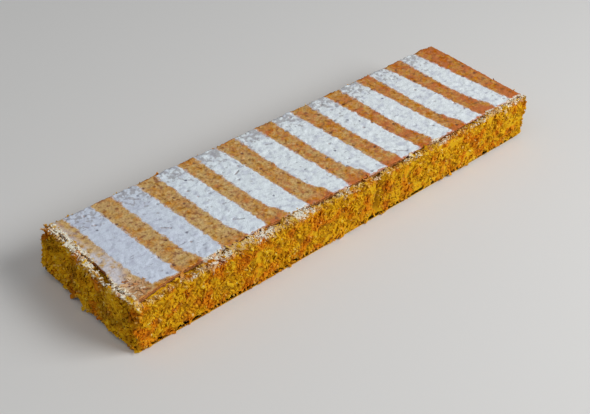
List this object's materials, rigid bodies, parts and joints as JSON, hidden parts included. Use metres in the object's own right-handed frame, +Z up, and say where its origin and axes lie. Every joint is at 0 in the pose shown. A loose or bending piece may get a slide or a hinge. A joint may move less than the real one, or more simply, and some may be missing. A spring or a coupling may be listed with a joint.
{
  "type": "mille feuille",
  "caption": "Long uncut mille feuille with crumb-coated sides and a flat baked puff pastry top, dusted with straight stripes of icing sugar across it.",
  "frame": {"origin": "middle of the base, on the surface that the block stands on", "axes": "+X along the length from the near end to the far end, +Y across from the front long side to the back, +Z up"},
  "size_m": [0.42, 0.11, 0.042],
  "materials": {
    "crumb_coat": "golden puff pastry crumbs pressed into custard, rough and matte",
    "baked_pastry": "baked puff pastry, light to golden brown, dry and matte, finely blistered",
    "icing_sugar": "fine dry icing sugar, white and matte, grainy at the edges",
    "custard": "set yellow custard, slightly moist"
  },
  "bodies": {
    "root": {"crumb_coated_block": "crumb_coat", "top_pastry_sheet": "baked_pastry"}
  },
  "joints": []
}
